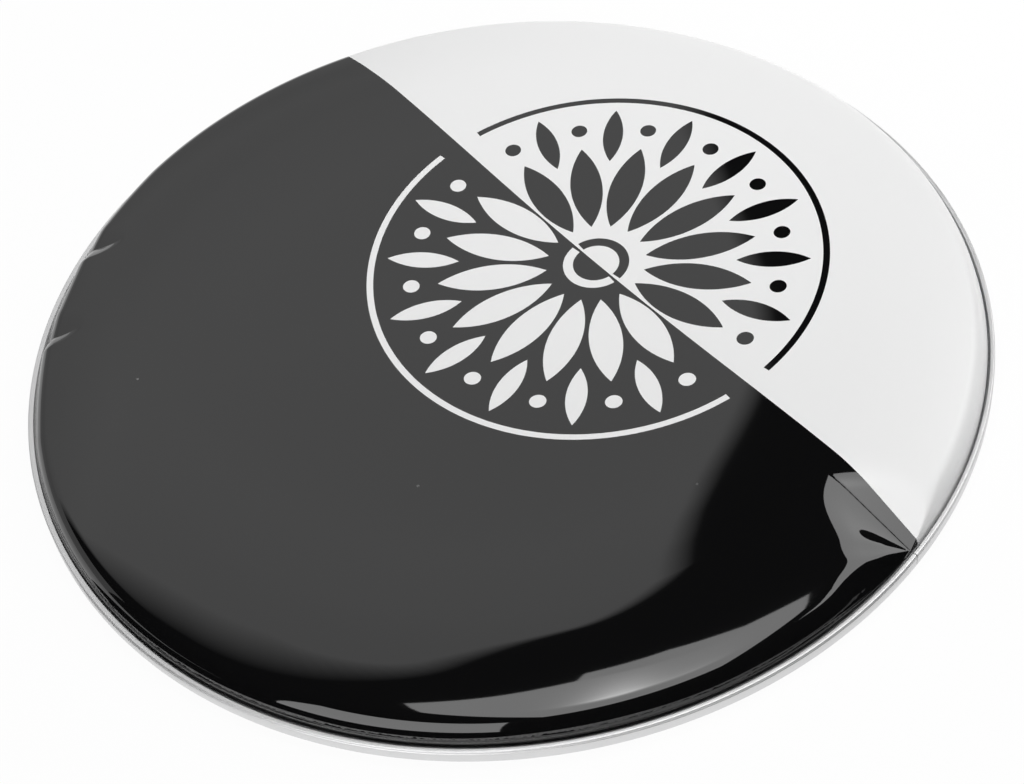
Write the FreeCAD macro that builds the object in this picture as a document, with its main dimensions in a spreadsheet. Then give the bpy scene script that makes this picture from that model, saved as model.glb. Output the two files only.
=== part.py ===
# A 22 inch bass drum head: a polyester film glued into a rolled aluminium channel hoop.
# Millimetres. Origin at the bottom centre of the hoop, +Z up through the playing face.
import FreeCAD, Part
import math
import os
import Sketcher

os.makedirs("parts", exist_ok=True)
doc = FreeCAD.newDocument("drum_head")
sheet = doc.addObject("Spreadsheet::Sheet", "Sizes")


class Size:
    """A length or angle worked out from cells of the sheet.

    It carries the value now, for drawing, and the expression that ties it to the cells.
    """

    def __init__(self, value, text):
        self.value = value
        self.text = text

    def combine(self, other, sign, value):
        other_text = other.text if isinstance(other, Size) else repr(other)
        return Size(value, f"({self.text} {sign} {other_text})")

    def __add__(self, other):
        return self.combine(other, "+", self.value + number(other))

    def __sub__(self, other):
        return self.combine(other, "-", self.value - number(other))

    def __mul__(self, other):
        return self.combine(other, "*", self.value * number(other))

    def __truediv__(self, other):
        return self.combine(other, "/", self.value / number(other))

    def __neg__(self):
        return Size(-self.value, f"(0 - {self.text})")

    def sin(self):
        return Size(math.sin(math.radians(self.value)), f"sin({self.text} * 1 deg)")

    def cos(self):
        return Size(math.cos(math.radians(self.value)), f"cos({self.text} * 1 deg)")


def number(size):
    return size.value if isinstance(size, Size) else size


row_count = 0


def size(alias, value):
    """Writes one driving size into the sheet and gives it back ready for use."""
    global row_count
    row_count += 1
    sheet.set(f"A{row_count}", alias)
    sheet.set(f"B{row_count}", str(value))
    sheet.setAlias(f"B{row_count}", alias)
    return Size(float(value), f"Sizes.{alias}")


# Hoop
hoop_bore_diameter = size("hoop_bore_diameter", 559)
hoop_height = size("hoop_height", 9.0)
outer_wall = size("outer_wall", 1.4)
inner_wall = size("inner_wall", 1.2)
inner_wall_height = size("inner_wall_height", 5.6)
channel_floor = size("channel_floor", 1.4)
lip_face = size("lip_face", 1.0)
lip_slope = size("lip_slope", 0.8)
mouth_gap = size("mouth_gap", 0.9)
bottom_edge_radius = size("bottom_edge_radius", 0.6)
groove_height = size("groove_height", 4.9)
groove_width = size("groove_width", 0.8)
groove_depth = size("groove_depth", 0.35)
seam_gap = size("seam_gap", 0.5)
seam_azimuth = size("seam_azimuth", -46.2)

# Insert ring and glue
insert_wire_diameter = size("insert_wire_diameter", 2.0)
insert_end_gap = size("insert_end_gap", 3.0)
insert_gap_azimuth = size("insert_gap_azimuth", 133.8)
glue_side = size("glue_side", 0.4)
glue_under_hem = size("glue_under_hem", 0.4)
glue_above_wire_centre = size("glue_above_wire_centre", 0.5)

# Film
film_thickness = size("film_thickness", 0.25)
hem_clearance = size("hem_clearance", 0.05)
hem_end_clearance = size("hem_end_clearance", 0.5)
collar_foot_depth = size("collar_foot_depth", 0.5)
collar_foot_radius = size("collar_foot_radius", 3.0)
collar_lean = size("collar_lean", 72)
collar_rise = size("collar_rise", 5.1)
shoulder_radius = size("shoulder_radius", 12.0)
crown_radius = size("crown_radius", 244)
crown_angle = size("crown_angle", 13.0)
dish_edge_radius = size("dish_edge_radius", 600)
dish_angle = size("dish_angle", 5.3)

# Black print
ink_thickness = size("ink_thickness", 0.2)
ink_depth_in_mouth = size("ink_depth_in_mouth", 2.0)
split_offset = size("split_offset", 72.5)
split_angle = size("split_angle", -59.7)
petal_start = size("petal_start", 30)
petal_length = size("petal_length", 66)
petal_curve = size("petal_curve", 60)
bud_start = size("bud_start", 84)
bud_length = size("bud_length", 44)
bud_curve = size("bud_curve", 42)
dot_reach = size("dot_reach", 112)
dot_radius = size("dot_radius", 5)
petals_per_side = size("petals_per_side", 8)
inner_ring_radius = size("inner_ring_radius", 14)
inner_ring_width = size("inner_ring_width", 6)
outer_ring_radius = size("outer_ring_radius", 135)
outer_ring_width = size("outer_ring_width", 4)
ring_end_margin = size("ring_end_margin", 6)
doc.recompute()

# Sizes that follow from the ones above: the channel is as wide as the hem and its glue.
fold_radius = insert_wire_diameter / 2 + hem_clearance
hem_radius = fold_radius + film_thickness
channel_half = hem_radius + glue_side
bore = hoop_bore_diameter / 2
channel_in = bore + inner_wall
wire_reach = channel_in + channel_half
channel_out = wire_reach + channel_half
rim = channel_out + outer_wall
wire_height = channel_floor + glue_under_hem + hem_radius
glue_level = wire_height + glue_above_wire_centre
leg_reach = wire_reach - fold_radius
lip_reach = leg_reach + mouth_gap
lip_radius = (rim - lip_reach) / 2
lip_under = hoop_height - lip_radius - lip_face
lip_root = lip_under - lip_slope
hem_top = lip_root - hem_end_clearance
inner_top_radius = inner_wall / 2
zero = Size(0.0, "0")


def place_corner(sketch, edge, end, x, y):
    """Ties one end of an edge to its place, measured from the sketch's origin."""
    for kind, across, amount in (("DistanceX", -2, x), ("DistanceY", -1, y)):
        if amount.value == 0:
            sketch.addConstraint(Sketcher.Constraint("PointOnObject", edge, end, across))
            continue
        if amount.value < 0:
            amount = -amount
            ends = (edge, end, -1, 1)
        else:
            ends = (-1, 1, edge, end)
        mark = sketch.addConstraint(Sketcher.Constraint(kind, *ends, amount.value))
        sketch.setExpression(f"Constraints[{mark}]", amount.text)


def arc_between(start, stop, radius):
    """The arc under half a turn from start to stop; a positive radius turns left."""
    chord = stop - start
    side = FreeCAD.Vector(-chord.y, chord.x, 0)
    side.normalize()
    height = math.sqrt(max(radius * radius - chord.Length ** 2 / 4, 0.0))
    centre = (start + stop) / 2 + side * (height if radius > 0 else -height)
    first = math.atan2(start.y - centre.y, start.x - centre.x)
    last = math.atan2(stop.y - centre.y, stop.x - centre.x)
    circle = Part.Circle(centre, FreeCAD.Vector(0, 0, 1), abs(radius))
    if radius > 0:
        return Part.ArcOfCircle(circle, first, last)
    return Part.ArcOfCircle(circle, last, first)


def draw(sketch, corners):
    """Draws one closed outline. A corner is (x, y) or (x, y, radius) when an arc leads to it."""
    count = len(corners)
    joins = []
    for index in range(count):
        here = corners[index - 1]
        there = corners[index]
        start = FreeCAD.Vector(here[0].value, here[1].value, 0)
        stop = FreeCAD.Vector(there[0].value, there[1].value, 0)
        if len(there) == 2:
            edge = sketch.addGeometry(Part.LineSegment(start, stop), False)
            joins.append((edge, 1, 2))
            continue
        bend = there[2]
        edge = sketch.addGeometry(arc_between(start, stop, bend.value), False)
        joins.append((edge, 1, 2) if bend.value > 0 else (edge, 2, 1))
        if bend.value < 0:
            bend = -bend
        mark = sketch.addConstraint(Sketcher.Constraint("Radius", edge, bend.value))
        sketch.setExpression(f"Constraints[{mark}]", bend.text)
    for index in range(count):
        edge, _, tail = joins[index]
        after, after_head = joins[(index + 1) % count][:2]
        sketch.addConstraint(Sketcher.Constraint("Coincident", edge, tail, after, after_head))
        place_corner(sketch, edge, tail, corners[index][0], corners[index][1])


def new_body(label):
    body = doc.addObject("PartDesign::Body", label)
    body.Label = label
    return body


def new_sketch(body, name, plane):
    """A sketch on one of the body's own origin planes."""
    sketch = body.newObject("Sketcher::SketchObject", name)
    support = [item for item in body.Origin.OriginFeatures if item.Role == plane]
    sketch.AttachmentSupport = [(support[0], "")]
    sketch.MapMode = "FlatFace"
    return sketch


def turn(body, name, corners, open_gap=None, gap_reach=None, gap_azimuth=None):
    """Turns a section about the vertical axis, as a full ring or one with a gap between its ends."""
    sketch = new_sketch(body, name + "Section", "XZ_Plane")
    draw(sketch, corners)
    doc.recompute()
    ring = body.newObject("PartDesign::Revolution", name + "Turn")
    ring.Profile = sketch
    ring.ReferenceAxis = (sketch, ["V_Axis"])
    ring.Angle = 360
    if open_gap is not None:
        ring.Midplane = True
        gap_turn = f"({open_gap.text}) / ({gap_reach.text}) * 180 / pi"
        ring.setExpression("Angle", f"(360 - {gap_turn}) * 1 deg")
        body.Placement = FreeCAD.Placement(
            FreeCAD.Vector(), FreeCAD.Rotation(FreeCAD.Vector(0, 0, 1), gap_azimuth.value - 180)
        )
        body.setExpression("Placement.Rotation.Angle", f"({gap_azimuth.text} - 180) * 1 deg")
    doc.recompute()


# Hoop: a channel rolled from aluminium strip, its ends butted at the seam.
hoop = new_body("hoop_channel")
turn(
    hoop,
    "Hoop",
    [
        (bore, zero),
        (rim - bottom_edge_radius, zero),
        (rim, bottom_edge_radius, bottom_edge_radius),
        (rim, groove_height - groove_width / 2),
        (rim - groove_depth, groove_height),
        (rim, groove_height + groove_width / 2),
        (rim, hoop_height - lip_radius),
        (rim - lip_radius, hoop_height, lip_radius),
        (lip_reach, hoop_height - lip_radius, lip_radius),
        (lip_reach, lip_under),
        (channel_out, lip_root),
        (channel_out, channel_floor),
        (channel_in, channel_floor),
        (channel_in, inner_wall_height - inner_top_radius),
        (channel_in - inner_top_radius, inner_wall_height, inner_top_radius),
        (bore, inner_wall_height - inner_top_radius, inner_top_radius),
    ],
    open_gap=seam_gap,
    gap_reach=rim,
    gap_azimuth=seam_azimuth,
)

# Insert ring: a hoop of round wire lying in the fold of the hem.
insert = new_body("insert_ring")
wire_radius = insert_wire_diameter / 2
turn(
    insert,
    "Insert",
    [
        (wire_reach, wire_height - wire_radius, wire_radius),
        (wire_reach + wire_radius, wire_height, wire_radius),
        (wire_reach, wire_height + wire_radius, wire_radius),
        (wire_reach - wire_radius, wire_height, wire_radius),
    ],
    open_gap=insert_end_gap,
    gap_reach=wire_reach,
    gap_azimuth=insert_gap_azimuth,
)

# Glue bed: resin poured in the channel, standing round the outside of the hem.
glue = new_body("glue_bed")
turn(
    glue,
    "Glue",
    [
        (channel_in, channel_floor),
        (channel_out, channel_floor),
        (channel_out, glue_level),
        (wire_reach + hem_radius, glue_level),
        (wire_reach + hem_radius, wire_height),
        (wire_reach, wire_height - hem_radius, -hem_radius),
        (wire_reach - hem_radius, wire_height, -hem_radius),
        (wire_reach - hem_radius, glue_level),
        (channel_in, glue_level),
    ],
)


def film_hem(depth):
    """The film's section from the hem's end round the insert, at a depth below its outer face."""
    fold = fold_radius + depth
    return [
        (wire_reach + fold, hem_top),
        (wire_reach + fold, wire_height),
        (wire_reach, wire_height - fold, -fold),
        (wire_reach - fold, wire_height, -fold),
    ]


def film_face(depth):
    """The film's section from the collar's foot to the axis, at a depth below its outer face."""
    foot = hoop_height - collar_foot_depth
    foot_centre = leg_reach - collar_foot_radius
    wall_out = collar_lean.sin()
    wall_up = collar_lean.cos()
    foot_bend = collar_foot_radius - depth
    wall_start = (foot_centre + foot_bend * wall_out, foot + foot_bend * wall_up)
    run = collar_rise * wall_up / wall_out
    wall_end = (wall_start[0] - run, wall_start[1] + collar_rise)
    shoulder_bend = shoulder_radius - depth
    shoulder = (wall_end[0] - shoulder_bend * wall_out, wall_end[1] - shoulder_bend * wall_up)
    crown_out = crown_angle.sin()
    crown_up = crown_angle.cos()
    edge = (shoulder[0] + shoulder_bend * crown_out, shoulder[1] + shoulder_bend * crown_up)
    crown_bend = crown_radius - depth
    crown = (edge[0] - crown_bend * crown_out, edge[1] - crown_bend * crown_up)
    top = crown[1] + crown_bend
    dish_out = dish_angle.sin()
    dish_up = dish_angle.cos()
    dish_bend = dish_edge_radius - depth
    dish_edge = (crown[0] - dish_bend * dish_out, top - dish_bend + dish_bend * dish_up)
    bowl = dish_edge[0] / dish_out
    return [
        (leg_reach - depth, foot),
        (wall_start[0], wall_start[1], foot_bend),
        wall_end,
        (edge[0], edge[1], shoulder_bend),
        (crown[0], top, crown_bend),
        (dish_edge[0], dish_edge[1], dish_bend),
        (zero, dish_edge[1] + bowl * dish_up - bowl, -bowl),
    ]


def reversed_run(corners):
    """The same run of corners walked from its end to its start."""
    walked = []
    for index in range(len(corners) - 1, -1, -1):
        after = corners[index + 1] if index + 1 < len(corners) else None
        if after is not None and len(after) == 3:
            walked.append((corners[index][0], corners[index][1], -after[2]))
        else:
            walked.append((corners[index][0], corners[index][1]))
    return walked


# Film: one sheet of polyester, formed with a crown and collar and hemmed around the insert. Off the
# drum nothing stretches it, so its middle hangs in a shallow dish.
film = new_body("skin_film")
film_outside = film_hem(zero) + film_face(zero)
film_inside = film_hem(film_thickness) + film_face(film_thickness)
turn(film, "Film", film_outside + reversed_run(film_inside))

# Black print: ink over the film on one side of a straight split line, counterchanged with a
# rosette of petals centred on that line. A sheet of ink that covers the whole film is kept only
# where it lies in the inked area.
ink_sheet = new_body("ink_sheet")
ink_start = hoop_height - ink_depth_in_mouth
ink_section = [(leg_reach, ink_start)] + film_face(zero)
ink_section += reversed_run([(leg_reach + ink_thickness, ink_start)] + film_face(-ink_thickness))
turn(ink_sheet, "Ink", ink_section)
inked_area = new_body("inked_area")
beyond_film = hoop_bore_diameter


def print_sketch(name, turned):
    """A sketch with its origin at the rosette's centre and its X axis turned from the split line."""
    sketch = new_sketch(inked_area, name, "XY_Plane")
    angle = split_angle + turned
    across = split_angle + 90
    reach = (across.cos() * split_offset, across.sin() * split_offset)
    sketch.AttachmentOffset = FreeCAD.Placement(
        FreeCAD.Vector(reach[0].value, reach[1].value, 0),
        FreeCAD.Rotation(FreeCAD.Vector(0, 0, 1), angle.value),
    )
    sketch.setExpression("AttachmentOffset.Base.x", reach[0].text)
    sketch.setExpression("AttachmentOffset.Base.y", reach[1].text)
    sketch.setExpression("AttachmentOffset.Rotation.Angle", f"({angle.text}) * 1 deg")
    return sketch


def lay_ink(name, sketch):
    """Adds the inside of the sketch's outlines to the inked area."""
    doc.recompute()
    pad = inked_area.newObject("PartDesign::Pad", name)
    pad.Profile = sketch
    pad.Length = beyond_film.value
    pad.setExpression("Length", beyond_film.text)
    doc.recompute()
    return pad


def leave_bare(name, sketch):
    """Takes the inside of the sketch's outlines out of the inked area."""
    doc.recompute()
    pocket = inked_area.newObject("PartDesign::Pocket", name)
    pocket.Profile = sketch
    pocket.SideType = "Two sides"
    pocket.Type = "ThroughAll"
    pocket.Type2 = "ThroughAll"
    doc.recompute()
    return pocket


def repeat(name, feature, sketch, copies, step):
    """Repeats a feature round the rosette's centre."""
    pattern = inked_area.newObject("PartDesign::PolarPattern", name)
    pattern.Originals = [feature]
    pattern.Axis = (sketch, ["N_Axis"])
    pattern.Mode = "Spacing"
    pattern.Offset = step.value
    pattern.setExpression("Offset", f"({step.text}) * 1 deg")
    pattern.Occurrences = int(round(copies.value))
    pattern.setExpression("Occurrences", copies.text)
    inked_area.Tip = pattern
    doc.recompute()


def leaf(sketch, start, length, curve):
    """A pointed leaf lying along the sketch's X axis."""
    draw(sketch, [(start, zero, curve), (start + length, zero, curve)])


def half_ring(sketch, radius, width):
    """A band round the rosette's centre, stopping short of the split line at both ends."""
    tip = Size(90.0, "90") - ring_end_margin
    far = radius + width
    draw(
        sketch,
        [
            (radius * tip.cos(), -(radius * tip.sin()), -radius),
            (far * tip.cos(), -(far * tip.sin())),
            (far, zero, far),
            (far * tip.cos(), far * tip.sin(), far),
            (radius * tip.cos(), radius * tip.sin()),
            (radius, zero, -radius),
        ],
    )


black_side = print_sketch("BlackSideOutline", zero)
draw(
    black_side,
    [(beyond_film, zero), (-beyond_film, zero), (-beyond_film, -beyond_film), (beyond_film, -beyond_film)],
)
lay_ink("BlackSide", black_side)
petal_step = Size(180.0, "180") / petals_per_side
for side, half_turn, work in (("Bare", 180.0, leave_bare), ("Inked", 0.0, lay_ink)):
    side_start = Size(half_turn, repr(half_turn))
    petals = print_sketch(side + "PetalOutline", side_start + petal_step / 2)
    leaf(petals, petal_start, petal_length, petal_curve)
    dot_low = dot_reach - dot_radius
    dot_high = dot_reach + dot_radius
    draw(
        petals,
        [
            (dot_low, zero, dot_radius),
            (dot_reach, -dot_radius, dot_radius),
            (dot_high, zero, dot_radius),
            (dot_reach, dot_radius, dot_radius),
        ],
    )
    first_petal = work(side + "Petal", petals)
    repeat(side + "Petals", first_petal, petals, petals_per_side, petal_step)
    buds = print_sketch(side + "BudOutline", side_start + petal_step)
    leaf(buds, bud_start, bud_length, bud_curve)
    first_bud = work(side + "Bud", buds)
    repeat(side + "Buds", first_bud, buds, petals_per_side - 1, petal_step)
    rings = print_sketch(side + "RingOutline", side_start + 90.0)
    half_ring(rings, inner_ring_radius, inner_ring_width)
    half_ring(rings, outer_ring_radius, outer_ring_width)
    work(side + "Rings", rings)

ink = doc.addObject("Part::Common", "black_print")
ink.Base = ink_sheet
ink.Tool = inked_area
doc.recompute()
for item in doc.Objects:
    if "Invalid" in item.State or "Error" in item.State:
        raise RuntimeError(f"{item.Label} did not build: {item.State}")
for body in (hoop, insert, glue, film, ink):
    if body.Shape.isNull() or not body.Shape.isValid():
        raise RuntimeError(f"{body.Label} has no sound shape")
    print(body.Label, len(body.Shape.Solids), "solids", round(body.Shape.Volume, 1), "mm3")
    body.Shape.exportStep(f"parts/{body.Label}.step")
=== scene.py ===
import math

import bpy
import numpy as np
from mathutils import Matrix, Vector


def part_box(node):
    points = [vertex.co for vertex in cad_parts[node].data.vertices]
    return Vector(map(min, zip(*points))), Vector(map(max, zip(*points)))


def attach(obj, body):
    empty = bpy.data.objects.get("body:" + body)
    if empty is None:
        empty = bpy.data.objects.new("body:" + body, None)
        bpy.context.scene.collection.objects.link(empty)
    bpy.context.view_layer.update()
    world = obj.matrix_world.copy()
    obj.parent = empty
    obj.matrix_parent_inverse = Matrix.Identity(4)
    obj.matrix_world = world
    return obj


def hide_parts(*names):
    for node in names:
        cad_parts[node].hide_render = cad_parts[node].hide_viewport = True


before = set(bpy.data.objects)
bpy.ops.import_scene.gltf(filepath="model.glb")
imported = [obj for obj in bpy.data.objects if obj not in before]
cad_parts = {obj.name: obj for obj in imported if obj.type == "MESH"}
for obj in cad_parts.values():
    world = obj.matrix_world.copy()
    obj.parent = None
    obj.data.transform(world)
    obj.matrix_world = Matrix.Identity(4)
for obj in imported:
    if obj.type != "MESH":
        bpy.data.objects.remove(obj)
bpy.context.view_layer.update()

# Hoop
# A channel rolled from aluminium strip and butted at one seam. Its flat-topped lip stands over the hem
# with a groove just below it, and the rolls leave fine bright lines that run round it.
mm = 0.001


class Wire:
    """A shader socket that takes part in sums: each operator adds a Math node beside it."""

    def __init__(self, socket):
        self.socket = socket
        self.tree = socket.id_data

    @staticmethod
    def node(tree, kind, settings=None, sockets=None):
        """Adds a node of any kind, with its settings first and then its values or links."""
        made = tree.nodes.new(kind)
        for name, value in (settings or {}).items():
            setattr(made, name, value)
        for key, value in (sockets or {}).items():
            if isinstance(value, Wire):
                tree.links.new(value.socket, made.inputs[key])
            else:
                made.inputs[key].default_value = value
        return made

    def math(self, operation, *others):
        values = dict(enumerate((self,) + others))
        return Wire(Wire.node(self.tree, "ShaderNodeMath", {"operation": operation}, values).outputs[0])

    def after(self, operation, first):
        """The same sum with a plain number standing first."""
        values = {0: first, 1: self}
        return Wire(Wire.node(self.tree, "ShaderNodeMath", {"operation": operation}, values).outputs[0])

    def __add__(self, other):
        return self.math("ADD", other)

    __radd__ = __add__

    def __sub__(self, other):
        return self.math("SUBTRACT", other)

    def __rsub__(self, other):
        return self.after("SUBTRACT", other)

    def __mul__(self, other):
        return self.math("MULTIPLY", other)

    __rmul__ = __mul__

    def __mod__(self, other):
        return self.math("FLOORED_MODULO", other)

    def __lt__(self, other):
        return self.math("LESS_THAN", other)

    def __gt__(self, other):
        return self.math("GREATER_THAN", other)

    def __abs__(self):
        return self.math("ABSOLUTE")


def new_finish(name):
    """A material with one Principled shader, and that shader."""
    finish = bpy.data.materials.new(name)
    finish.use_nodes = True
    return finish, finish.node_tree.nodes["Principled BSDF"]


def place_on_object(tree):
    """The shaded point in object coordinates, in metres: as a vector and as its three parts."""
    spot = Wire(Wire.node(tree, "ShaderNodeTexCoord").outputs["Object"])
    parts = Wire.node(tree, "ShaderNodeSeparateXYZ", None, {0: spot})
    return spot, [Wire(parts.outputs[axis]) for axis in range(3)]


def cloud(tree, point, scale, detail):
    """Soft noise from 0 to 1 at a point."""
    sockets = {"Vector": point, "Scale": scale, "Detail": detail}
    made = Wire.node(tree, "ShaderNodeTexNoise", None, sockets)
    return Wire(made.outputs[0])


def blend_colours(tree, amount, first, second):
    """A colour between two, by an amount from 0 to 1."""
    sockets = {0: amount, 6: first, 7: second}
    made = Wire.node(tree, "ShaderNodeMix", {"data_type": "RGBA"}, sockets)
    return Wire(made.outputs[2])


sharp_bend = math.radians(28)


def turned_mesh(name, outline, start, stop, steps):
    """An open ring with ends: a closed outline of (reach, height) turned from one azimuth to another."""
    count = len(outline)
    corners = []
    for azimuth in np.linspace(start, stop, steps + 1):
        corners += [(r * math.cos(azimuth), r * math.sin(azimuth), h) for r, h in outline]
    strips = []
    for step in range(steps):
        for i in range(count):
            j = (i + 1) % count
            here = step * count
            strips.append((here + i, here + count + i, here + count + j, here + j))
    strips.append(tuple(range(count)))
    strips.append(tuple(range(steps * count, steps * count + count))[::-1])
    mesh = bpy.data.meshes.new(name)
    mesh.from_pydata(corners, [], strips)
    mesh.polygons.foreach_set("use_smooth", [True] * len(strips))
    mesh.set_sharp_from_angle(angle=sharp_bend)
    made = bpy.data.objects.new(name, mesh)
    bpy.context.scene.collection.objects.link(made)
    return made


def arc_run(centre, radius, start, stop, count):
    """Points on an arc, by angle from the vertical, without the first one."""
    angles = np.linspace(start, stop, count + 1)[1:]
    return [(centre[0] + radius * math.sin(a), centre[1] + radius * math.cos(a)) for a in angles]


def ease(low, high, value):
    """0 below low, 1 above high and smooth between."""
    share = np.clip((value - low) / (high - low), 0.0, 1.0)
    return share * share * (3.0 - 2.0 * share)


hoop_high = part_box("hoop_channel")[1]
rim_radius = hoop_high.x
hoop_height = hoop_high.z
outer_wall = 1.4 * mm
inner_wall = 1.2 * mm
inner_wall_height = 5.6 * mm
channel_floor = 1.4 * mm
channel_width = 3.4 * mm
lip_width = 2.6 * mm
lip_spread = 1.0 * mm
spread_start, spread_full, spread_until, spread_end = np.radians((105, 140, 205, 240))
lip_outer_round = 1.0 * mm
lip_inner_round = 0.45 * mm
lip_under = 6.375 * mm
lip_slope = 0.8 * mm
bottom_edge = 0.6 * mm
groove_height = 7.3 * mm
groove_half = 0.45 * mm
groove_depth = 0.4 * mm
seam_azimuth = math.radians(-46.2)
seam_gap = 0.5 * mm
hoop_steps = 900
touch = 0.01 * mm
aluminium_dull = (0.7, 0.7, 0.705, 1.0)
aluminium_bright = (0.8, 0.8, 0.8, 1.0)
roll_line_scale = 2600.0
smudge_scale = 38.0
roll_line_relief = 0.12
roll_line_height = 0.2 * mm
hoop_roughness = 0.44
roll_line_roughness = 0.1
smudge_roughness = 0.08
channel_out = rim_radius - outer_wall
channel_in = channel_out - channel_width
bore = channel_in - inner_wall
lip_inside = rim_radius - lip_width
quarter = math.pi / 2
outline = [(bore, 0.0), (rim_radius - bottom_edge, 0.0)]
outline += arc_run((rim_radius - bottom_edge, bottom_edge), bottom_edge, 2 * quarter, quarter, 4)
outline += [(rim_radius, groove_height - groove_half), (rim_radius - groove_depth, groove_height)]
outline += [(rim_radius, groove_height + groove_half), (rim_radius, hoop_height - lip_outer_round)]
outer_centre = (rim_radius - lip_outer_round, hoop_height - lip_outer_round)
outline += arc_run(outer_centre, lip_outer_round, quarter, 0.0, 10)
inner_centre = (lip_inside + lip_inner_round, hoop_height - lip_inner_round)
outline += [(inner_centre[0], hoop_height)] + arc_run(inner_centre, lip_inner_round, 0.0, -quarter, 6)
outline += [(lip_inside, lip_under), (channel_out, lip_under - lip_slope)]
outline += [(channel_out, channel_floor), (channel_in, channel_floor)]
inner_round = inner_wall / 2
inner_top = (channel_in - inner_round, inner_wall_height - inner_round)
outline += [(channel_in, inner_top[1])] + arc_run(inner_top, inner_round, quarter, -quarter, 8)
half_gap = seam_gap / 2 / rim_radius
hoop_start = seam_azimuth + half_gap
hoop_stop = seam_azimuth + 2 * math.pi - half_gap
hoop = turned_mesh("rolled_hoop", outline, hoop_start, hoop_stop, hoop_steps)
for corner in hoop.data.vertices:
    reach = math.hypot(corner.co.x, corner.co.y)
    turn = math.atan2(corner.co.y, corner.co.x) % (2 * math.pi)
    if reach < inner_centre[0] + touch and corner.co.z > lip_under - touch:
        share = ease(spread_start, spread_full, turn) - ease(spread_until, spread_end, turn)
        shrink = 1.0 - lip_spread * share / reach
        corner.co.x *= shrink
        corner.co.y *= shrink
aluminium, shader = new_finish("rolled_aluminium")
tree = aluminium.node_tree
spot, (x, y, z) = place_on_object(tree)
from_axis = (x * x + y * y).math("SQRT")
roll_mark = Wire.node(tree, "ShaderNodeCombineXYZ", None, {0: from_axis, 1: z})
roll_lines = cloud(tree, Wire(roll_mark.outputs[0]), roll_line_scale, detail=2.0)
smudge = cloud(tree, spot, smudge_scale, detail=4.0)
tint = blend_colours(tree, smudge, aluminium_dull, aluminium_bright)
tree.links.new(tint.socket, shader.inputs["Base Color"])
roughness = hoop_roughness + roll_lines * roll_line_roughness + smudge * smudge_roughness
tree.links.new(roughness.socket, shader.inputs["Roughness"])
shader.inputs["Metallic"].default_value = 1.0
sockets = {"Strength": roll_line_relief, "Distance": roll_line_height, "Height": roll_lines}
relief = Wire.node(tree, "ShaderNodeBump", None, sockets)
tree.links.new(relief.outputs[0], shader.inputs["Normal"])
hoop.data.materials.append(aluminium)
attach(hoop, "root")
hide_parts("hoop_channel")

# Insert ring
# A ring of round zinc-plated steel wire that the film's hem is folded around. It lies loose in the fold
# until the resin sets.
wire_dull = (0.42, 0.43, 0.44, 1.0)
wire_bright = (0.62, 0.63, 0.64, 1.0)
spangle_scale = 420.0
wire_roughness = 0.3
spangle_roughness = 0.2


def dress(node_name, finish):
    """Gives a CAD node that stays in view its finish."""
    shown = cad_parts[node_name]
    shown.data.materials.clear()
    shown.data.materials.append(finish)


steel, shader = new_finish("zinc_wire")
tree = steel.node_tree
spot = place_on_object(tree)[0]
spangle = cloud(tree, spot, spangle_scale, detail=2.0)
tint = blend_colours(tree, spangle, wire_dull, wire_bright)
tree.links.new(tint.socket, shader.inputs["Base Color"])
roughness = wire_roughness + spangle * spangle_roughness
tree.links.new(roughness.socket, shader.inputs["Roughness"])
shader.inputs["Metallic"].default_value = 1.0
dress("insert_ring", steel)

# Glue bed
# Two-part resin poured into the channel around the hem and left to set. It is a cloudy straw colour
# with a skin that is dull in places.
resin_deep = (0.30, 0.25, 0.16, 1.0)
resin_pale = (0.50, 0.45, 0.34, 1.0)
resin_cloud_scale = 160.0
resin_roughness = 0.25
resin_cloud_roughness = 0.4
resin, shader = new_finish("set_resin")
tree = resin.node_tree
spot = place_on_object(tree)[0]
haze = cloud(tree, spot, resin_cloud_scale, detail=4.0)
tint = blend_colours(tree, haze, resin_deep, resin_pale)
tree.links.new(tint.socket, shader.inputs["Base Color"])
roughness = resin_roughness + haze * resin_cloud_roughness
tree.links.new(roughness.socket, shader.inputs["Roughness"])
dress("glue_bed", resin)

# Film and its print
# One sheet of glossy white polyester, formed hot and hemmed round the insert ring, with black ink on one
# side of a line and a rosette that swaps the colours. Loose, it sags in the middle, and its collar is
# gathered, pinched down where the hoop's ends meet and creased twice on the left.
film_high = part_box("skin_film")[1]
film_thickness = 0.25 * mm
wire_low, wire_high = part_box("insert_ring")
wire_radius = (wire_high.z - wire_low.z) / 2
wire_reach = wire_high.x - wire_radius
wire_height = (wire_high.z + wire_low.z) / 2
fold_radius = film_high.x - wire_reach - film_thickness
leg_reach = wire_reach - fold_radius
hem_end_clearance = 0.5 * mm
hem_top = lip_under - lip_slope - hem_end_clearance
collar_foot_radius = 3.0 * mm
collar_foot_depth = 0.5 * mm
foot_height = hoop_height - collar_foot_depth
collar_lean = math.radians(72)
collar_rise = 5.1 * mm
shoulder_radius = 12.0 * mm
crown_radius = 244 * mm
crown_angle = math.radians(13.0)


def straight_run(start, stop, count):
    """Points on a line, without the first one."""
    shares = np.linspace(0.0, 1.0, count + 1)[1:]
    return [(start[0] + (stop[0] - start[0]) * s, start[1] + (stop[1] - start[1]) * s) for s in shares]


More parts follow.
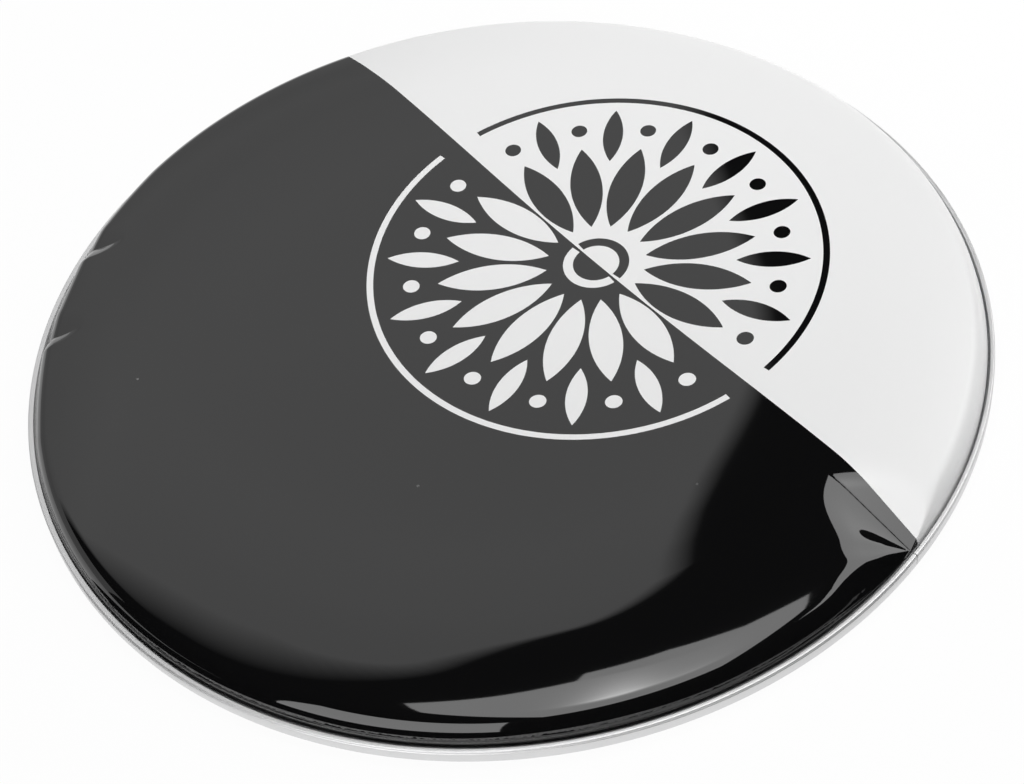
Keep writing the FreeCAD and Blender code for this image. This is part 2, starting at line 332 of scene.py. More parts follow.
def film_section(depth, counts):
    """The tight film's section from its axis out to the hem's end, at a depth under the outer face.

    Gives the points, and where the gathered stretch of the collar starts and stops among them.
    """
    foot_centre = (leg_reach - collar_foot_radius, foot_height)
    foot_bend = collar_foot_radius - depth
    wall_foot = arc_run(foot_centre, foot_bend, collar_lean, collar_lean, 1)[0]
    run_in = collar_rise / math.tan(collar_lean)
    wall_head = (wall_foot[0] - run_in, wall_foot[1] + collar_rise)
    bend = shoulder_radius - depth
    shoulder = (wall_head[0] - bend * math.sin(collar_lean), wall_head[1] - bend * math.cos(collar_lean))
    edge = arc_run(shoulder, bend, crown_angle, crown_angle, 1)[0]
    crown_bend = crown_radius - depth
    crown = (edge[0] - crown_bend * math.sin(crown_angle), edge[1] - crown_bend * math.cos(crown_angle))
    flat_end = (crown[0], crown[1] + crown_bend)
    fold = fold_radius + depth
    points = [(0.0, flat_end[1])]
    points += straight_run(points[0], flat_end, counts["flat"])
    points += arc_run(crown, crown_bend, 0.0, crown_angle, counts["crown"])
    points += arc_run(shoulder, bend, crown_angle, collar_lean, counts["shoulder"])
    gathers_start = len(points) - 1
    points += straight_run(wall_head, wall_foot, counts["wall"])
    points += arc_run(foot_centre, foot_bend, collar_lean, quarter, counts["foot"])
    gathers_stop = len(points) - 1
    points += straight_run(points[-1], (wire_reach - fold, wire_height), counts["leg"])
    for turn in np.linspace(2 * quarter, 4 * quarter, counts["fold"] + 1)[1:]:
        points.append((wire_reach + fold * math.cos(turn), wire_height + fold * math.sin(turn)))
    points += straight_run(points[-1], (wire_reach + fold, hem_top), counts["hem"])
    return np.array(points), gathers_start, gathers_stop


def around(azimuth, centre):
    """The turn from a centre, between minus half a turn and half a turn."""
    return (azimuth - centre + math.pi) % (2 * math.pi) - math.pi


sag_depth = 10.0 * mm
sag_edge = 232 * mm
shoulder_reach = 273 * mm
pinch_reach = 280.6 * mm
pinch_spot = pinch_reach * np.array([math.cos(seam_azimuth), math.sin(seam_azimuth)])
pinch_lift = 0.3 * mm
pinch_height = hoop_height + pinch_lift
crease_bearing = math.radians(-8.5)
crease_slope = 0.24
crease_dip = 0.035
crease_spread = math.radians(10)
fan_base = 0.283
fan_inwards = 0.062
fan_sideways = 0.103
fan_rise = 0.21
fan_start, fan_full, fan_until, fan_end = np.radians((-14, 44, 60, 100))
fan_drop = 0.3
fan_drop_start = math.radians(62)
knuckle_rise = 0.05
knuckle_start, knuckle_top, knuckle_end = np.radians((16, 44, 90))
knuckle_near = 12 * mm
knuckle_far = 30 * mm
fold_end_rise = 0.12
fold_end_near = 40 * mm
fold_end_far = 90 * mm
fold_end_start, fold_end_full = np.radians((40, 65))
pinch_softness = 0.5 * mm
pinch_softening = 0.07


def fan(bearing):
    """How steeply the folds climb from the pinch. Bearing 0 points inwards, and the left is positive."""
    rise = fan_base + fan_inwards * np.cos(bearing) - fan_sideways * np.sin(bearing)
    spread = 1.0 - ease(fan_until, fan_end, bearing)
    rise = rise + fan_rise * ease(fan_start, fan_full, bearing) * spread
    rise = rise - crease_dip * np.exp(-np.abs(bearing - crease_bearing) / crease_spread)
    return rise - fan_drop * ease(fan_drop_start, fan_end, bearing)


def pinched(x, y, height, depth):
    """The film's height where it is drawn down in folds that meet at the hoop's seam."""
    away_x = x - pinch_spot[0]
    away_y = y - pinch_spot[1]
    away = np.hypot(away_x, away_y)
    bearing = around(np.arctan2(away_y, away_x), seam_azimuth + math.pi)
    past_crease = crease_bearing - bearing
    facet = fan(crease_bearing) * np.cos(past_crease) + crease_slope * np.sin(past_crease)
    rise = np.where(past_crease > 0, facet, fan(bearing))
    knuckle = ease(knuckle_start, knuckle_top, bearing)
    knuckle = knuckle * (1.0 - ease(knuckle_top, knuckle_end, bearing))
    rise = rise + knuckle_rise * knuckle * (1.0 - ease(knuckle_near, knuckle_far, away))
    fold_end = ease(fold_end_near, fold_end_far, away) * ease(fold_end_start, fold_end_full, bearing)
    cone = pinch_height - depth + away * (rise + fold_end_rise * fold_end)
    soft = pinch_softness + pinch_softening * away
    share = np.clip(0.5 + 0.5 * (cone - height) / soft, 0.0, 1.0)
    return cone * (1.0 - share) + height * share - soft * share * (1.0 - share)


crease_spots = ((-245.6 * mm, 123.3 * mm), (-271.9 * mm, 53 * mm))
crease_length = 24 * mm
crease_bow = 2.2 * mm
crease_depth = 4.2 * mm
crease_near_width = 11 * mm
crease_far_width = 23 * mm
crease_narrowing = 0.6
crease_near_power = 1.2
crease_fade = 8 * mm
facet_azimuths = np.radians((145.7, 161.7, 177.7))
facet_pulls = (0.9 * mm, 2.3 * mm, 1.0 * mm)
facet_half = math.radians(8)
facet_lift = 8 * mm
facet_inside = shoulder_reach - 18 * mm
foot_push = 0.45 * mm
foot_push_azimuth = math.radians(168)
foot_push_full, foot_push_end = np.radians((28, 46))
foot_push_height = 2 * mm


def creased(x, y, lifted):
    """How deep the two creases on the left press the film down."""
    dip = np.zeros_like(x)
    for start_x, start_y in crease_spots:
        inward = np.clip((x - start_x) / crease_length, 0.0, 1.0)
        beside = y - start_y + crease_bow * np.sin(math.pi * inward)
        width = np.where(beside < 0, crease_near_width, crease_far_width) * (1.0 - crease_narrowing * inward)
        power = np.where(beside < 0, crease_near_power, 1.0)
        dip += crease_depth * (1.0 - inward) * np.clip(1.0 - np.abs(beside) / width, 0.0, 1.0) ** power
    return dip * ease(0.0, crease_fade, lifted)


wave_depth = 0.25 * mm
wave_count = 7
wave_lift = 6 * mm
wave_inside = shoulder_reach - 40 * mm
chance = np.random.default_rng(22)
wave_lengths = chance.uniform(95 * mm, 230 * mm, wave_count)
wave_headings = chance.uniform(0.0, 2 * math.pi, wave_count)
wave_phases = chance.uniform(0.0, 2 * math.pi, wave_count)


def formed(reach, height, azimuth, depth):
    """Where a point of the tight film lies on the loose one, as x, y and z."""
    lifted = np.clip(height - hoop_height, 0.0, None)
    slack = ease(0.0, facet_lift, lifted) * ease(facet_inside, shoulder_reach, reach)
    for middle, pull in zip(facet_azimuths, facet_pulls):
        share = np.clip(1.0 - (around(azimuth, middle) / facet_half) ** 2, 0.0, 1.0)
        reach = reach - pull * share * slack
    pushed = 1.0 - ease(foot_push_full, foot_push_end, np.abs(around(azimuth, foot_push_azimuth)))
    reach = reach + foot_push * pushed * np.exp(-(((height - hoop_height) / foot_push_height) ** 2))
    x = reach * np.cos(azimuth)
    y = reach * np.sin(azimuth)
    height = height - sag_depth * np.clip(1.0 - (reach / sag_edge) ** 2, 0.0, None) ** 2
    swell = np.zeros_like(x)
    for length, heading, phase in zip(wave_lengths, wave_headings, wave_phases):
        swell += np.sin((x * math.cos(heading) + y * math.sin(heading)) * 2 * math.pi / length + phase)
    swell = (swell / wave_count - 1.0) * wave_depth
    swell = swell * ease(0.0, wave_lift, lifted) * (1.0 - ease(wave_inside, shoulder_reach, reach))
    height = height + swell
    height = height - creased(x, y, lifted)
    return x, y, pinched(x, y, height, depth)


gather_count = 520
gather_height = 0.04 * mm
gather_top = 12.4 * mm
tooth_height = 0.3 * mm
line_drift = 0.4 * mm
line_under = 0.5 * mm
line_over = 0.4 * mm
bead_lift = 0.1 * mm
bead_half = 0.45 * mm
bead_height = 0.14 * mm
bead_unevenness = 0.08 * mm
gathers_fade = foot_height + 0.1 * mm
gathers_full = foot_height + 1.6 * mm


def gathered(height, azimuth):
    """How far the gathers of the collar push a point out from the plain wall.

    The whole numbers are waves per turn that don't fall in step, and the numbers added shift their starts.
    """
    fold = np.cos(azimuth * gather_count + 0.9 * np.sin(azimuth * 29 + 0.7))
    uneven = 0.65 + 0.35 * np.sin(azimuth * 37 + 1.3) * np.sin(azimuth * 23 + 0.4)
    line = gather_top + tooth_height * fold * uneven
    line = line + line_drift * np.sin(azimuth * 31 + 0.5) * np.sin(azimuth * 13)
    below = 1.0 - ease(line - line_under, line + line_over, height)
    bead = np.exp(-(((height - line - bead_lift) / bead_half) ** 2))
    push = bead * (bead_height + bead_unevenness * fold * uneven)
    push = push + below * gather_height * uneven * fold
    return push * ease(gathers_fade, gathers_full, height)


turn_samples = 40001


def spread_columns(far_spacing, places):
    """Azimuths round the film, closer together near the places that need it."""
    turns = np.linspace(-math.pi, math.pi, turn_samples)
    density = np.full(turns.shape, rim_radius / far_spacing)
    for centre, half_width, spacing in places:
        share = np.exp(-((around(turns, centre) * rim_radius / half_width) ** 4))
        density = np.maximum(density, share * rim_radius / spacing)
    travel = np.concatenate([[0.0], np.cumsum((density[1:] + density[:-1]) / 2 * np.diff(turns))])
    count = int(round(travel[-1]))
    return np.interp(np.arange(count) * travel[-1] / count, travel, turns)


outer_spacing = 3.6 * mm
inner_spacing = 8 * mm
columns_per_gather = 4
seam_half_width = 55 * mm
seam_spacing = 0.9 * mm
dent_half_width = 14 * mm
dent_spacing = 0.6 * mm
focus = [(seam_azimuth, seam_half_width, seam_spacing)]
for spot_x, spot_y in crease_spots:
    focus.append((math.atan2(spot_y, spot_x), dent_half_width, dent_spacing))
outer_columns = spread_columns(outer_spacing, focus)
gather_columns = np.linspace(-math.pi, math.pi, columns_per_gather * gather_count + 1)[:-1]
inner_focus = [(centre, half_width, 2 * spacing) for centre, half_width, spacing in focus]
inner_columns = spread_columns(inner_spacing, inner_focus)
outer_counts = {"flat": 12, "crown": 30, "shoulder": 24, "wall": 15, "foot": 2, "leg": 2, "fold": 5, "hem": 1}
inner_counts = {"flat": 8, "crown": 24, "shoulder": 12, "wall": 3, "foot": 1, "leg": 2, "fold": 4, "hem": 1}
front_disc = 0.84
back_disc = 0.3
map_margin = 0.99
vertices = []
map_places = []
faces = []


def add_rings(depth, counts, columns, gathers, disc, disc_centre):
    """The rings of one face of the film from the axis out, each with its first vertex and azimuths."""
    points, gathers_start, gathers_stop = film_section(depth, counts)
    steps = np.hypot(*np.diff(points, axis=0).T)
    travel = np.concatenate([[0.0], np.cumsum(steps)])
    rings = []
    for index, (reach, height) in enumerate(points):
        in_gathers = gathers is not None and gathers_start < index < gathers_stop
        azimuths = gathers if in_gathers else columns
        azimuths = azimuths if index else columns[:1]
        push = gathered(height, azimuths) if in_gathers else 0.0
        heights = np.full(azimuths.shape, height)
        places = formed(reach + push + np.zeros(azimuths.shape), heights, azimuths, depth)
        rings.append((len(vertices), azimuths))
        vertices.extend(zip(*places))
        on_map = travel[index] / travel[-1] * disc / 2 * map_margin
        map_us = disc_centre + on_map * np.cos(azimuths)
        map_vs = disc_centre + on_map * np.sin(azimuths)
        map_places.extend(zip(map_us, map_vs))
    return rings


def join_rings(inside, outside, flip):
    """Faces between two rings, stepping round by azimuth so that their counts may differ."""
    first_in, turns_in = inside
    first_out, turns_out = outside
    count_in = len(turns_in)
    count_out = len(turns_out)
    strips = []
    if count_in == 1:
        strips = [(first_in, first_out + j, first_out + (j + 1) % count_out) for j in range(count_out)]
    elif count_in == count_out:
        for i in range(count_in):
            j = (i + 1) % count_in
            strips.append((first_in + i, first_out + i, first_out + j, first_in + j))
    else:
        i = 0
        j = 0
        while i < count_in or j < count_out:
            next_in = turns_in[i + 1] if i + 1 < count_in else turns_in[0] + 2 * math.pi
            next_out = turns_out[j + 1] if j + 1 < count_out else turns_out[0] + 2 * math.pi
            here_in = first_in + i % count_in
            here_out = first_out + j % count_out
            if j >= count_out or (i < count_in and next_in <= next_out):
                i += 1
                strips.append((here_in, here_out, first_in + i % count_in))
            else:
                j += 1
                strips.append((here_in, here_out, first_out + j % count_out))
    faces.extend(strip[::-1] if flip else strip for strip in strips)


outer_rings = add_rings(0.0, outer_counts, outer_columns, gather_columns, front_disc, front_disc / 2)
inner_rings = add_rings(film_thickness, inner_counts, inner_columns, None, back_disc, 1.0 - back_disc / 2)
for inside, outside in zip(outer_rings[:-1], outer_rings[1:]):
    join_rings(inside, outside, False)
outer_face_count = len(faces)
for inside, outside in zip(inner_rings[:-1], inner_rings[1:]):
    join_rings(inside, outside, True)
join_rings(inner_rings[-1], outer_rings[-1], True)

film_mesh = bpy.data.meshes.new("film_with_print")
film_mesh.from_pydata([tuple(map(float, v)) for v in vertices], [], faces)
film_mesh.polygons.foreach_set("use_smooth", [True] * len(faces))
film_mesh.polygons.foreach_set("material_index", [int(i >= outer_face_count) for i in range(len(faces))])
flat_map = film_mesh.uv_layers.new(name="OFBake")
corner_vertices = np.zeros(len(film_mesh.loops), int)
film_mesh.loops.foreach_get("vertex_index", corner_vertices)
flat_map.data.foreach_set("uv", np.array(map_places)[corner_vertices].ravel())
film_mesh.update()
film = bpy.data.objects.new("film_with_print", film_mesh)
bpy.context.scene.collection.objects.link(film)

split_angle = math.radians(-59.7)
split_offset = 72.5 * mm
petals_per_side = 8
petal_step = math.pi / petals_per_side
petal_start = 30 * mm
petal_length = 66 * mm
petal_curve = 60 * mm
bud_start = 84 * mm
bud_length = 44 * mm
bud_curve = 42 * mm
dot_reach = 112 * mm
dot_radius = 5 * mm
ring_bands = ((14 * mm, 20 * mm), (135 * mm, 139 * mm))
ring_end_margin = math.radians(6)
ink_black = (0.0042, 0.0042, 0.0044, 1.0)
ink_depth_in_mouth = 2 * mm
film_white = (0.79, 0.79, 0.79, 1.0)
film_shade = (0.74, 0.74, 0.74, 1.0)
haze_scale = 9.0
film_ior = 1.58
ink_roughness = 0.02
ink_haze_roughness = 0.03
white_roughness = 0.36
scuff_roughness = 0.4
back_roughness = 0.2
back_haze_roughness = 0.15
# Grey laid on the black ink of the collar's bands is whitened, stretched film and painted sheen. The same
# grey marks the small chips.
scuff_and_sheen_grey = (0.26, 0.26, 0.26, 1.0)
ripple_scale = 330.0
drift_scale = 6.0
mottle_scale = 900.0
collar_inside = 278.5 * mm
band_under = 0.6 * mm
band_over = 1.0 * mm
band_ripple = 2.0 * mm
band_drift = 5.0 * mm
drift_middle = 0.36
# The bands' grey is painted sheen that grows to the left and fades out to the right.
sheen_in_middle = 0.5
sheen_fall_per_metre = 1.9
# A thin grey line low on the collar, on the left only, is a painted highlight.
highlight_line_height = 10.3 * mm
highlight_line_ripple = 0.8 * mm
highlight_line_half = 0.35 * mm
highlight_line_end = 20 * mm
speck_spots = ((-59.9 * mm, -114.1 * mm), (90.6 * mm, -147.7 * mm), (-214.9 * mm, -2.5 * mm))
speck_radius = 0.8 * mm


def within_leaf(along, across, start, length, curve):
    """1 inside a pointed leaf that lies along a ray from the rosette's centre."""
    middle = start + length / 2
    setback = math.sqrt(curve ** 2 - (length / 2) ** 2)
    deep = abs(across) + setback
    shift = along - middle
    return (shift * shift + deep * deep) < curve ** 2


printed, shader = new_finish("printed_gloss_film")
tree = printed.node_tree
spot, (x, y, z) = place_on_object(tree)
from_line = math.cos(split_angle + quarter) * x + math.sin(split_angle + quarter) * y - split_offset
on_line = math.cos(split_angle) * x + math.sin(split_angle) * y
black_side = from_line < 0.0
ray = (on_line * on_line + from_line * from_line).math("SQRT")
bearing = abs(from_line).math("ARCTAN2", on_line)
to_petal = bearing % petal_step - petal_step / 2
along = ray * to_petal.math("COSINE")
across = ray * to_petal.math("SINE")
motif = within_leaf(along, across, petal_start, petal_length, petal_curve)
from_dot = along - dot_reach
motif = motif.math("MAXIMUM", (from_dot * from_dot + across * across) < dot_radius ** 2)
to_bud = (bearing + petal_step / 2) % petal_step - petal_step / 2
bud = within_leaf(ray * to_bud.math("COSINE"), ray * to_bud.math("SINE"), bud_start, bud_length, bud_curve)
clear_of_line = (bearing > petal_step / 2) * (bearing < math.pi - petal_step / 2)
motif = motif.math("MAXIMUM", bud * clear_of_line)
off_ends = (bearing > ring_end_margin) * (bearing < math.pi - ring_end_margin)
for ring_inner, ring_outer in ring_bands:
    motif = motif.math("MAXIMUM", (ray > ring_inner) * (ray < ring_outer) * off_ends)
ink_foot = hoop_height - ink_depth_in_mouth
inked = abs(black_side - motif) * (z > ink_foot)
tint = blend_colours(tree, inked, film_white, ink_black)
ripple = cloud(tree, spot, ripple_scale, detail=1.0)
drift = cloud(tree, spot, drift_scale, detail=2.0)
# The band round the gathers' bead is grey, with whitened film and painted sheen.
band_foot = ripple * band_ripple + (gather_top - band_under)
band_head = (drift - drift_middle) * band_drift + (gather_top + band_over)
# Painted highlight: a thin grey line low on the left of the collar.
painted_highlight_line = abs(z - ripple * highlight_line_ripple - highlight_line_height) < highlight_line_half
painted_highlight_line = painted_highlight_line * (x < highlight_line_end)
on_collar = (x * x + y * y).math("SQRT") > collar_inside
bands = ((z > band_foot) * (z < band_head)).math("MAXIMUM", painted_highlight_line)
scuffs_and_sheen = on_collar * bands * inked
# Painted sheen: the bands' grey is stronger to the left and weaker to the right.
painted_sheen_share = sheen_in_middle - x * sheen_fall_per_metre
for speck_x, speck_y in speck_spots:
    aside = x - speck_x
    ahead = y - speck_y
    speck = (aside * aside + ahead * ahead) < speck_radius ** 2
    scuffs_and_sheen = scuffs_and_sheen.math("MAXIMUM", speck * inked)
mottle = cloud(tree, spot, mottle_scale, detail=2.0)
# The collar's grey is whitened film with painted sheen, and the chips are real.
tint = blend_colours(tree, scuffs_and_sheen * mottle * painted_sheen_share, tint, scuff_and_sheen_grey)
tree.links.new(tint.socket, shader.inputs["Base Color"])
haze = cloud(tree, spot, haze_scale, detail=5.0)
roughness = ink_roughness + haze * ink_haze_roughness
roughness = roughness + (1.0 - inked) * white_roughness + scuffs_and_sheen * scuff_roughness
tree.links.new(roughness.socket, shader.inputs["Roughness"])
shader.inputs["IOR"].default_value = film_ior
film_mesh.materials.append(printed)
bare, shader = new_finish("bare_film")
tree = bare.node_tree
spot = place_on_object(tree)[0]
haze = cloud(tree, spot, haze_scale, detail=5.0)
tint = blend_colours(tree, haze, film_shade, film_white)
tree.links.new(tint.socket, shader.inputs["Base Color"])
roughness = back_roughness + haze * back_haze_roughness
tree.links.new(roughness.socket, shader.inputs["Roughness"])
film_mesh.materials.append(bare)
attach(film, "root")
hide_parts("skin_film", "black_print")

# Floor
# A seamless white table under the head. It stays white to the camera and in the metal, and takes a faint
# shadow of the head.
floor_half = 7.0
floor_drop = 0.1 * mm
table_grey = (0.86, 0.86, 0.86, 1.0)
table_glow = 0.95
plain_white = (1.0, 1.0, 1.0, 1.0)
floor_mesh = bpy.data.meshes.new("floor")
corner_signs = ((-1, -1), (1, -1), (1, 1), (-1, 1))
floor_corners = [(floor_half * sign_x, floor_half * sign_y, 0.0) for sign_x, sign_y in corner_signs]
floor_mesh.from_pydata(floor_corners, [], [(0, 1, 2, 3)])
floor = bpy.data.objects.new("floor", floor_mesh)
floor.location.z = -floor_drop
bpy.context.scene.collection.objects.link(floor)
table_white = bpy.data.materials.new("table_white")
table_white.use_nodes = True
tree = table_white.node_tree
tree.nodes.clear()


def seen_as_background(tree):
    """1 for camera, glossy and transmission rays."""
    path = Wire.node(tree, "ShaderNodeLightPath")
    seen = Wire(path.outputs["Is Camera Ray"])
    for name in ("Is Glossy Ray", "Is Transmission Ray"):
        seen = seen.math("MAXIMUM", Wire(path.outputs[name]))
    return seen


matt = Wire.node(tree, "ShaderNodeBsdfDiffuse", None, {"Color": table_grey})
glow = Wire.node(tree, "ShaderNodeEmission", None, {"Color": plain_white, "Strength": 1.0})
whiten = seen_as_background(tree) * table_glow
sockets = {0: whiten, 1: Wire(matt.outputs[0]), 2: Wire(glow.outputs[0])}
mixed = Wire.node(tree, "ShaderNodeMixShader", None, sockets)
Wire.node(tree, "ShaderNodeOutputMaterial", None, {0: Wire(mixed.outputs[0])})
floor_mesh.materials.append(table_white)

# Light
# A white room with a soft box overhead that has a brighter core, panels at the right and the left, and a
# fill lamp for the white of the film. Black cards and a dim far wall, which only reflections see, give the
# gloss its dark shapes.
world = bpy.data.worlds.new("white_room")
bpy.context.scene.world = world
world.use_nodes = True
tree = world.node_tree
tree.nodes.clear()
room_light = 0.07
strength = room_light + seen_as_background(tree) * (1.0 - room_light)
sky = Wire.node(tree, "ShaderNodeBackground", None, {"Color": plain_white, "Strength": strength})
Wire.node(tree, "ShaderNodeOutputWorld", None, {0: Wire(sky.outputs[0])})


def hang_lamp(name, width, depth, radiance, place, aim, roll=0.0):
    """A rectangular lamp that looks from its place at a point."""
    lamp = bpy.data.lights.new(name, "AREA")
    lamp.shape = "RECTANGLE"
    lamp.size = width
    lamp.size_y = depth
    lamp.energy = radiance * width * depth * math.pi
    hung = bpy.data.objects.new(name, lamp)
    hung.location = place
    facing = (Vector(aim) - Vector(place)).to_track_quat("-Z", "Y")
    hung.rotation_euler = (facing.to_matrix() @ Matrix.Rotation(roll, 3, "Z")).to_euler()
    bpy.context.scene.collection.objects.link(hung)
    return hung


lamp_glow = 3.0
fill_glow = 4.0
lamp_height = 1.69
flag_height = 1.685
core_height = 1.68
box_roll = math.radians(9.5)
box_place = (0.2625, -0.581, lamp_height)
box_aim = (0.2625, -0.581, 0.0)
box_width = 1.085
box_depth = 1.655
soft_box = hang_lamp("soft_box", box_width, box_depth, lamp_glow, box_place, box_aim, box_roll)
soft_box.visible_diffuse = False
right_place = (2.35, 1.05, lamp_height)
right_aim = (2.35, 1.05, 0.0)
right_width = 2.5
right_depth = 3.3
hang_lamp("right_panel", right_width, right_depth, lamp_glow, right_place, right_aim)
left_place = (-0.935, -1.505, 0.85)
left_aim = (-0.361, -0.686, 0.85)
left_width = 1.307
left_depth = 1.6
hang_lamp("left_panel", left_width, left_depth, lamp_glow, left_place, left_aim)
fill_place = (0.2, 0.7, 1.6)
fill_aim = (0.2, 0.7, 0.0)
fill_width = 1.2
fill = hang_lamp("fill", fill_width, fill_width, fill_glow, fill_place, fill_aim)
fill.visible_glossy = False

card_black, shader = new_finish("card_black")
shader.inputs["Base Color"].default_value = (0.0, 0.0, 0.0, 1.0)
shader.inputs["Specular IOR Level"].default_value = 0.0


def hang_card(name, corners, panes, finish):
    """A card that only reflections see."""
    mesh = bpy.data.meshes.new(name)
    mesh.from_pydata(corners, [], panes)
    mesh.materials.append(finish)
    card = bpy.data.objects.new(name, mesh)
    card.visible_camera = False
    card.visible_diffuse = False
    card.visible_shadow = False
    bpy.context.scene.collection.objects.link(card)
    return mesh


def hang_black(name, corners):
    """A black card with a sharp outline."""
    hang_card(name, corners, [tuple(range(len(corners)))], card_black)


def rounded(points):
    """The same line with its corners cut off three times over, its ends kept."""
    line = [np.array(p) for p in points]
    for _ in range(3):
        cut = [line[0]]
        for here, there in zip(line[:-1], line[1:]):
            cut += [0.75 * here + 0.25 * there, 0.25 * here + 0.75 * there]
        line = cut + [line[-1]]
    return line


card_height = 1.7
card_reach = 4.0
near_edge = [(-4.0, 1.7), (-1.27, 0.67), (-0.76, 0.24), (-0.3, 0.3), (-0.08, 0.61), (0.19, 0.76)]
right_edge = [(0.18, 1.6), (0.77, 2.61), (1.6, 4.0)]
card_edge = rounded(near_edge + right_edge)
far_corners = [(card_reach, card_reach), (card_reach, -card_reach), (-card_reach, -card_reach)]
hang_black("ceiling_card", [(px, py, card_height) for px, py in card_edge + far_corners])
panel_corner = ((1.0, 1.1), (1.1, 1.1), (3.7, 2.66), (3.7, 2.8), (1.0, 2.8))
hang_black("panel_corner", [(px, py, flag_height) for px, py in panel_corner])
flag_edge = ((-0.6, 0.0), (-0.1, 0.0), (-0.07, 0.055), (0.12, 0.055), (0.33, -0.02), (0.6, -0.02))
flag_back = ((0.6, 0.12), (-0.6, 0.12))
flag_x = 0.135
flag_y = 0.181
box_flag = []
for sideways, out in flag_edge + flag_back:
    px = flag_x + sideways * math.cos(box_roll) - out * math.sin(box_roll)
    py = flag_y + sideways * math.sin(box_roll) + out * math.cos(box_roll)
    box_flag.append((px, py, flag_height))
hang_black("box_flag", box_flag)


def fading(name, brightness):
    """A card finish that runs from clear to an even glow with the mesh's cover value."""
    finish = bpy.data.materials.new(name)
    finish.use_nodes = True
    tree = finish.node_tree
    tree.nodes.clear()
    cover = Wire.node(tree, "ShaderNodeAttribute", {"attribute_name": "cover"})
    clear = Wire.node(tree, "ShaderNodeBsdfTransparent")
    lit = Wire.node(tree, "ShaderNodeEmission", None, {"Strength": brightness})
    sockets = {0: Wire(cover.outputs["Fac"]), 1: Wire(clear.outputs[0]), 2: Wire(lit.outputs[0])}
    mixed = Wire.node(tree, "ShaderNodeMixShader", None, sockets)
    Wire.node(tree, "ShaderNodeOutputMaterial", None, {0: Wire(mixed.outputs[0])})
    return finish


def hang_fading(name, rows, covers, finish):
    """A card of rows of points, each point with its own cover."""
    wide = len(rows[0])
    corners = [point for row in rows for point in row]
    panes = []
    for start in range(0, len(corners) - wide, wide):
        panes += [(start + i, start + i + 1, start + wide + i + 1, start + wide + i) for i in range(wide - 1)]
    mesh = hang_card(name, corners, panes, finish)
    values = mesh.attributes.new("cover", "FLOAT", "POINT")
    values.data.foreach_set("value", [float(cover) for row in covers for cover in row])


soft_black = fading("soft_black", 0.0)
fade_left = 0.34
fade_right = 0.05
fade_left_x = -0.8
fade_right_x = 0.0
strip = []
for index, (px, py) in enumerate(card_edge):
    onward = card_edge[min(index + 1, len(card_edge) - 1)] - card_edge[max(index - 1, 0)]
    outward = np.array([-onward[1], onward[0]]) / np.hypot(*onward)
    fade = fade_left + (fade_right - fade_left) * ease(fade_left_x, fade_right_x, px)
    clear_x, clear_y = np.array((px, py)) + fade * outward
    strip.append([(px, py, card_height), (clear_x, clear_y, card_height)])
hang_fading("ceiling_card_edge", strip, [(1.0, 0.0)] * len(strip), soft_black)

far_plan = ((4.0, 4.4), (-2.0, 4.4), (-4.6, 2.6), (-5.2, 0.2))
far_rows = ((0.0, 0.5), (1.6, 0.44), (2.3, 0.29), (3.4, 0.17), (4.8, 0.0))
far_wall = [[(px, py, height) for px, py in far_plan] for height, cover in far_rows]
hang_fading("far_wall", far_wall, [[cover] * len(far_plan) for height, cover in far_rows], soft_black)

core_brightness = 9.0
core_glow = fading("core_glow", core_brightness)
core_xs = np.linspace(-0.4, 0.7, 45)
core_ys = np.linspace(-1.08, 0.16, 41)
core_y = -0.18
core_half_depth = 0.22
spot_cover = 0.85
spot_middle = 0.15
spot_half = 0.09
bar_cover = 0.3
bar_middle = 0.22
bar_half = 0.24
bright_spot = spot_cover * np.exp(-(((core_xs - spot_middle) / spot_half) ** 2))
dim_bar = bar_cover * np.exp(-(((core_xs - bar_middle) / bar_half) ** 4))
core_rows = []
core_covers = []
for py in core_ys:
    across_core = math.exp(-(((py - core_y) / core_half_depth) ** 2))
    core_rows.append([(px, py, core_height) for px in core_xs])
    core_covers.append(np.clip(across_core * (bright_spot + dim_bar), 0.0, 1.0))
hang_fading("soft_box_core", core_rows, core_covers, core_glow)


def hang_upright(name, start, stop):
    """A black card that stands on the table from one point of the plan to another."""
    foot = [(start[0], start[1], 0.0), (stop[0], stop[1], 0.0)]
    hang_black(name, foot + [(stop[0], stop[1], card_height), (start[0], start[1], card_height)])


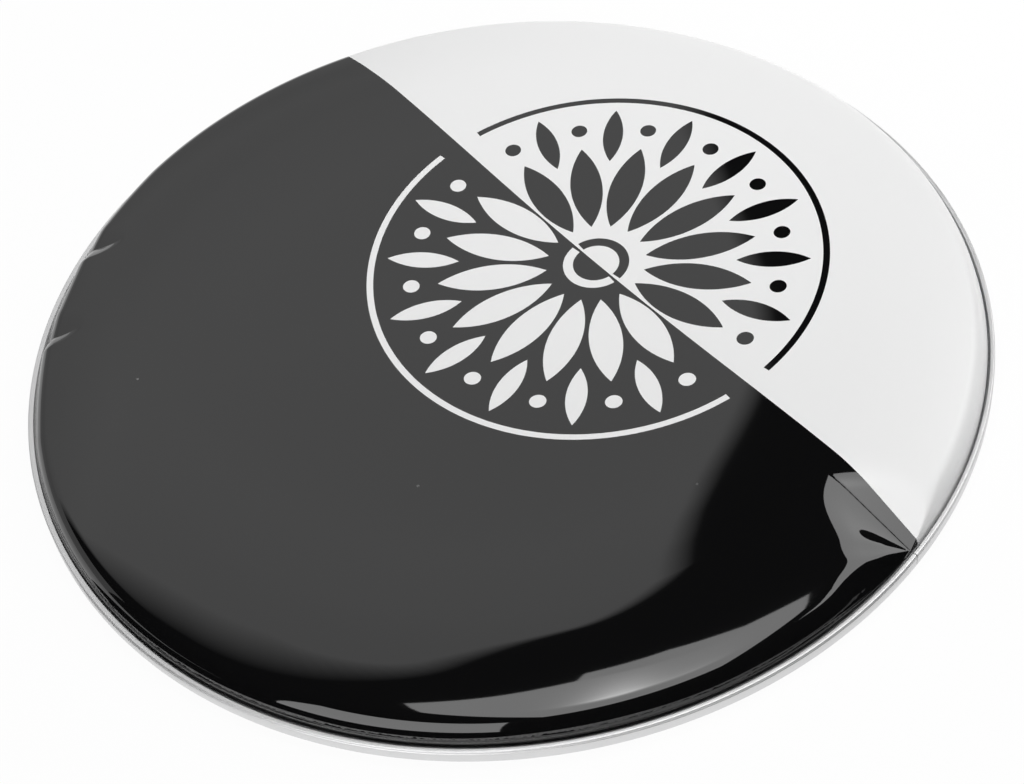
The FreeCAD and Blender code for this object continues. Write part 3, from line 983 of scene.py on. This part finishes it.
front = -2.6
left_side = -3.6
left_card_end = 0.2
right_card_end = 7.0
hang_upright("front_card", (left_side, front), (card_reach, front))
hang_upright("left_card", (left_side, front), (left_side, left_card_end))
hang_upright("right_card", (card_reach, front), (card_reach, right_card_end))
card_gap = 10 * mm
card_gap_front = 18 * mm
near_azimuths = np.radians(np.linspace(-47, -155, 28))
near_round = []
for azimuth in near_azimuths:
    card_start = rim_radius + card_gap + card_gap_front * math.sin(azimuth) ** 8
    near_round.append((card_start * math.cos(azimuth), card_start * math.sin(azimuth), 0.0))
table_left_end = -1.7
table_right_end = 1.0
table_corners = [(left_side, table_left_end, 0.0), (left_side, front, 0.0)]
table_corners += [(card_reach, front, 0.0), (card_reach, table_right_end, 0.0)]
hang_black("floor_card", near_round + table_corners)

# Camera
# A plain camera with a long lens on a stand. It looks down on the head from the front, about 1.3 m away,
# and is tipped a little to one side.
camera_distance = 1.3
camera_elevation = math.radians(46.9)
camera_roll = math.radians(-9.573)
look_height = 12 * mm
look_forward = 46.8 * mm
sensor_millimetres = 36.0
lens_millimetres = 77.22
aim = Vector((0.0, -look_forward, look_height))
stand = Vector((0.0, -math.cos(camera_elevation), math.sin(camera_elevation))) * camera_distance
stand.z += look_height
forward = (aim - stand).normalized()
level = forward.cross(Vector((0.0, 0.0, 1.0))).normalized()
rise = level.cross(forward)
to_right = math.cos(camera_roll) * level + math.sin(camera_roll) * rise
to_top = math.cos(camera_roll) * rise - math.sin(camera_roll) * level
lens = bpy.data.cameras.new("camera")
lens.sensor_fit = "HORIZONTAL"
lens.sensor_width = sensor_millimetres
lens.lens = lens_millimetres
camera = bpy.data.objects.new("camera", lens)
camera.matrix_world = Matrix(
    (
        (to_right.x, to_top.x, -forward.x, stand.x),
        (to_right.y, to_top.y, -forward.y, stand.y),
        (to_right.z, to_top.z, -forward.z, stand.z),
        (0.0, 0.0, 0.0, 1.0),
    )
)
bpy.context.scene.collection.objects.link(camera)
bpy.context.scene.camera = camera
bpy.context.scene.view_settings.view_transform = "Standard"
